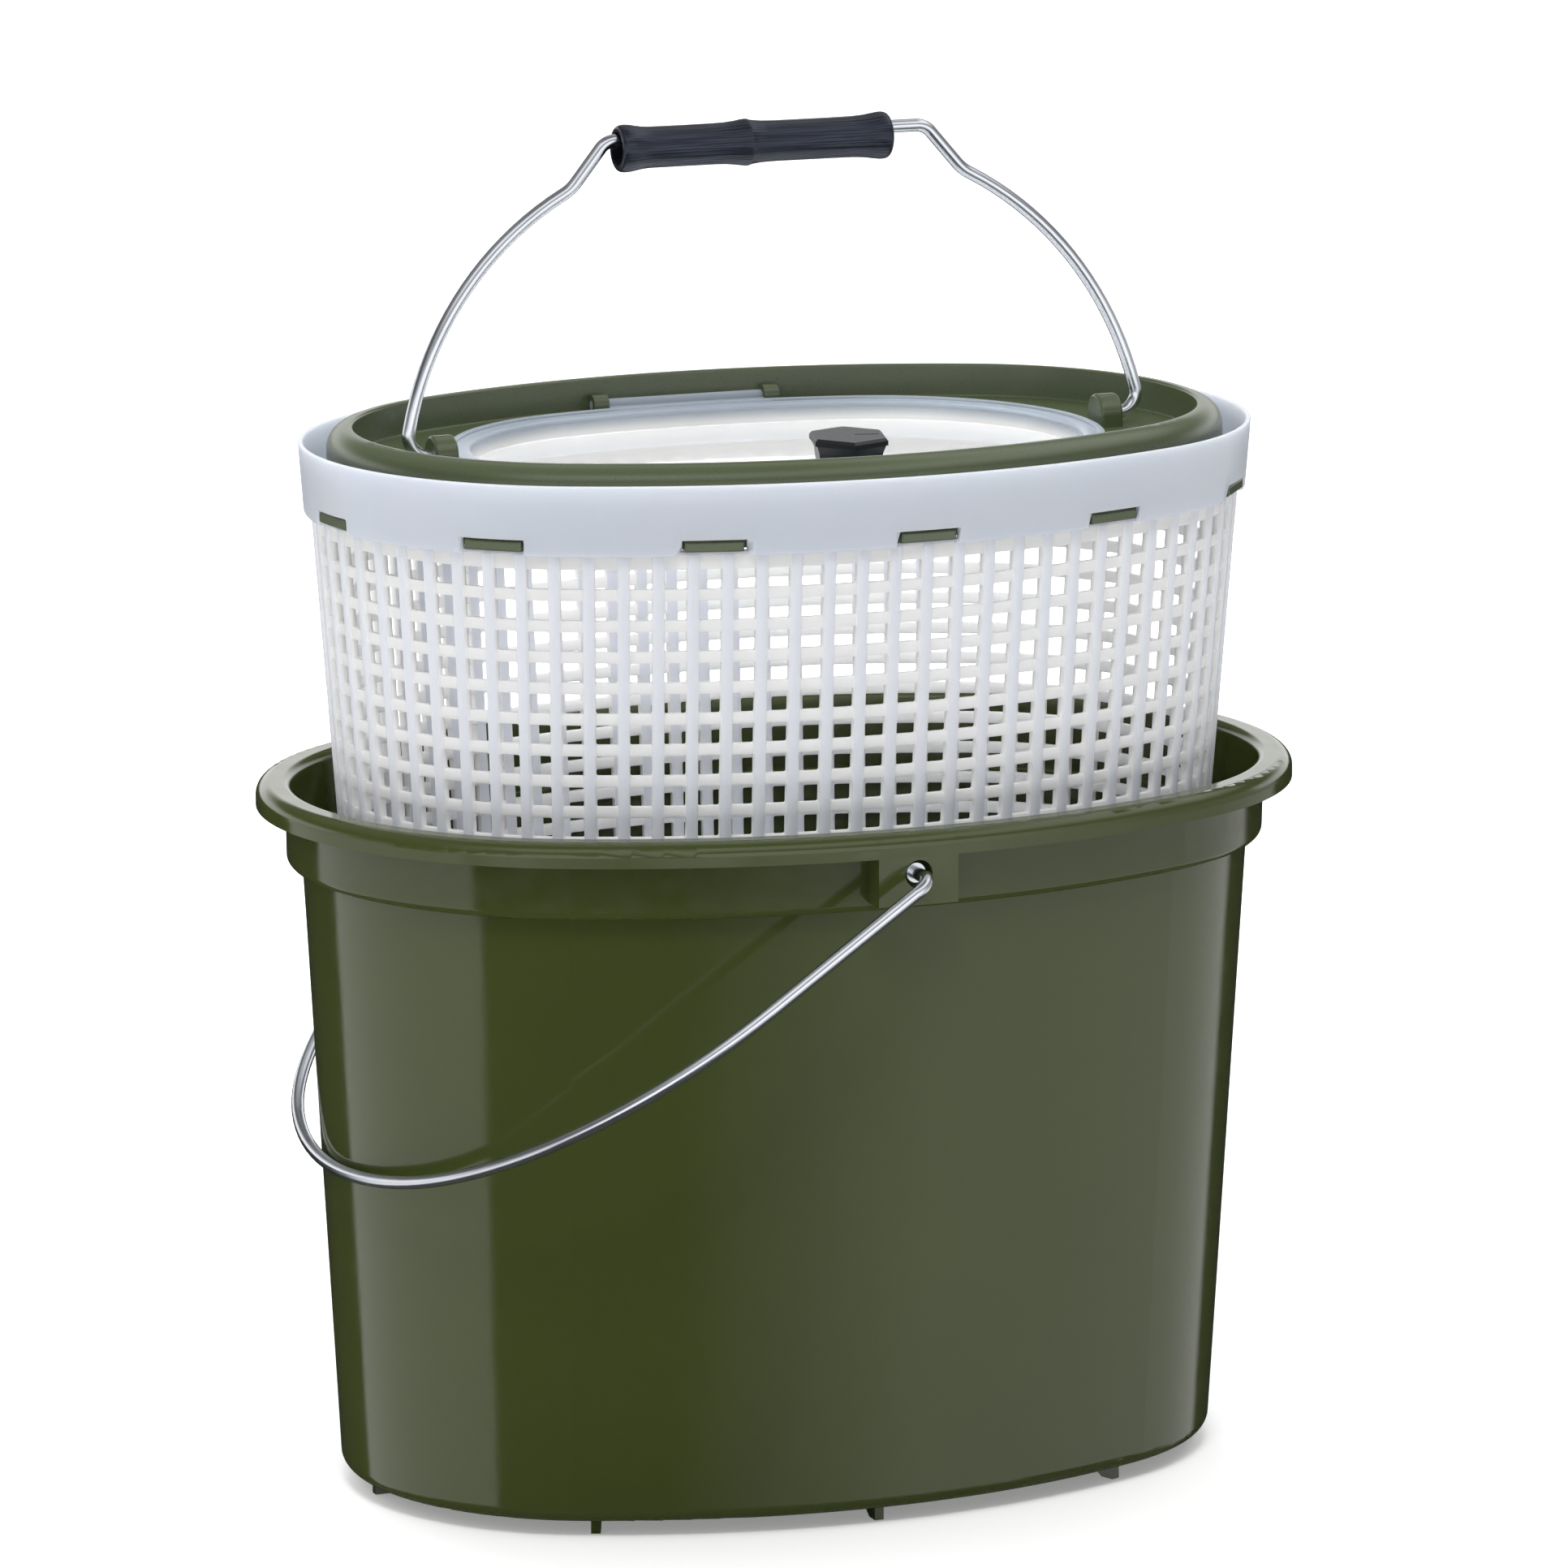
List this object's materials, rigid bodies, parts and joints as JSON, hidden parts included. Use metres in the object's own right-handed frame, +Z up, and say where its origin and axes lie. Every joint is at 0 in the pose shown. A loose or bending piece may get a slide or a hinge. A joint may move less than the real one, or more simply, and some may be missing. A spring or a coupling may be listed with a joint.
{
  "type": "bait bucket",
  "caption": "Oval bucket with a lift-out lattice basket, a hinged clear lid with a turn latch, and wire bails on the bucket and the basket.",
  "frame": {"origin": "centre of the bucket on the resting plane under its feet", "axes": "+X along the oval, -Y to the front where the latch knob is, +Z up"},
  "size_m": [0.36, 0.2804, 0.4595],
  "materials": {
    "bucket_plastic": "glossy olive green",
    "collar_plastic": "satin olive green",
    "basket_plastic": "milky white, slightly translucent",
    "lid_plastic": "clear",
    "black_plastic": "fine matt",
    "grip_plastic": "black with a moulded grain",
    "wire": "zinc plated"
  },
  "bodies": {
    "bucket_body": {"bucket": "bucket_plastic"},
    "bucket_bail_body": {"bucket_bail": "wire"},
    "basket_body": {"basket": "basket_plastic", "collar": "collar_plastic"},
    "basket_bail_body": {"basket_bail": "wire"},
    "grip_body": {"bail_grip": "grip_plastic"},
    "lid_body": {"lid": "lid_plastic"},
    "latch_body": {"lid_knob": "black_plastic", "latch_tongue": "black_plastic"}
  },
  "joints": [
    {"name": "bucket_bail_swing", "type": "hinge", "parent": "bucket_body", "child": "bucket_bail_body", "pos_m": [0, 0, 0.2273], "axis": [0, 1, 0], "range_deg": [0, 64]},
    {"name": "basket_lift", "type": "slide", "parent": "bucket_body", "child": "basket_body", "axis": [0, 0, 1], "range_m": [-0.1165, 0.095]},
    {"name": "basket_bail_swing", "type": "hinge", "parent": "basket_body", "child": "basket_bail_body", "pos_m": [0, 0, 0.3538], "axis": [1, 0, 0], "range_deg": [-74, 86]},
    {"name": "grip_turn", "type": "hinge", "parent": "basket_bail_body", "child": "grip_body", "pos_m": [-0.005, 0.01026, 0.45146], "axis": [1, 0, 0], "continuous": true},
    {"name": "lid_hinge", "type": "hinge", "parent": "basket_body", "child": "lid_body", "pos_m": [0, 0.0885, 0.3521], "axis": [-1, 0, 0], "range_deg": [0, 27]},
    {"name": "latch_turn", "type": "hinge", "parent": "lid_body", "child": "latch_body", "pos_m": [0, -0.064, 0.345], "axis": [0, 0, 1], "range_deg": [-75, 15]}
  ]
}
